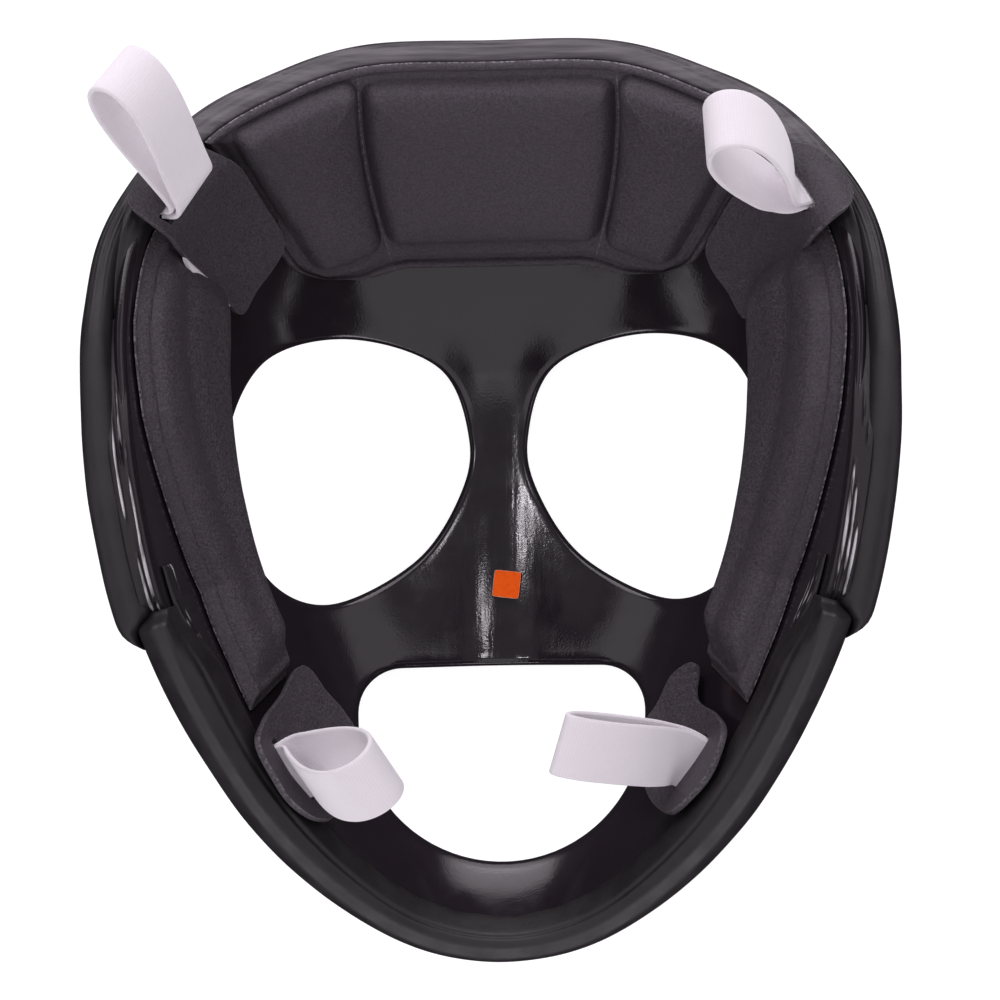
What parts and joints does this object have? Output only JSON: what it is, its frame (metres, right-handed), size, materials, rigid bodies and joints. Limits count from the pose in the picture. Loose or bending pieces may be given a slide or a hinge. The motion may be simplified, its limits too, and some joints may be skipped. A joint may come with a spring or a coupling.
{
  "type": "wrestling face guard",
  "caption": "Moulded wrestling face guard with eye and mouth holes, foam bumper, padded lining and elastic loops that tie it to headgear.",
  "frame": {"origin": "middle of the box, on the surface that the guard's front rests on", "axes": "+X towards the wearer's right, +Y from chin to brow, +Z from the front of the guard to the wearer's head"},
  "size_m": [0.1948, 0.2283, 0.1112],
  "materials": {
    "gloss_skin": "glossy dipped skin",
    "satin_skin": "satin skin over foam",
    "matte_vinyl": "matte grained vinyl",
    "white_elastic": "woven",
    "orange_label": "matte film"
  },
  "bodies": {
    "root": {"face_shell": "gloss_skin", "brow_bumper": "satin_skin", "jaw_band": "satin_skin", "forehead_pad": "matte_vinyl", "side_pad_left": "matte_vinyl", "side_pad_right": "matte_vinyl", "upper_tab_left": "matte_vinyl", "upper_tab_right": "matte_vinyl", "lower_tab_left": "matte_vinyl", "lower_tab_right": "matte_vinyl", "upper_loop_left": "white_elastic", "upper_loop_right": "white_elastic", "lower_loop_left": "white_elastic", "lower_loop_right": "white_elastic", "label": "orange_label"}
  },
  "joints": []
}
